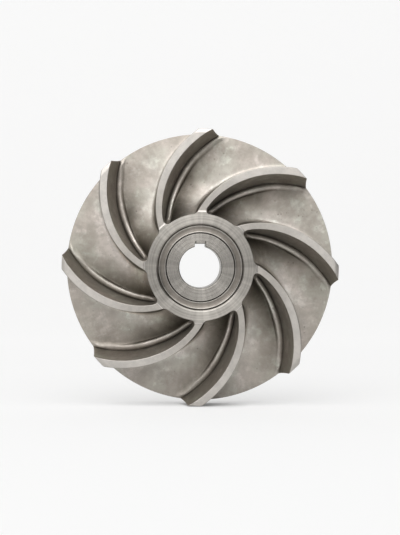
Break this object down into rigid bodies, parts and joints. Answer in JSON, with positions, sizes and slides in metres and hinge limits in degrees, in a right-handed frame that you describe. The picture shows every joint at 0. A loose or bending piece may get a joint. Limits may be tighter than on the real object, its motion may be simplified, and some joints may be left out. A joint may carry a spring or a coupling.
{
  "type": "semi-open mixed-flow pump impeller",
  "caption": "Semi-open mixed-flow pump impeller with backswept vanes on a bell-shaped back shroud and a keyed bush in its hub.",
  "frame": {"origin": "on the axis, at the rear end of the hub", "axes": "+Y along the axis from the suction side to the rear end of the hub, +Z towards the keyway, +X to the right seen from the suction side"},
  "size_m": [0.25, 0.062, 0.25],
  "materials": {
    "cast_stainless": "blasted casting with machined vane faces and hub",
    "turned_steel": "turned"
  },
  "bodies": {
    "root": {"impeller_casting": "cast_stainless", "keyed_bush": "turned_steel"}
  },
  "joints": []
}
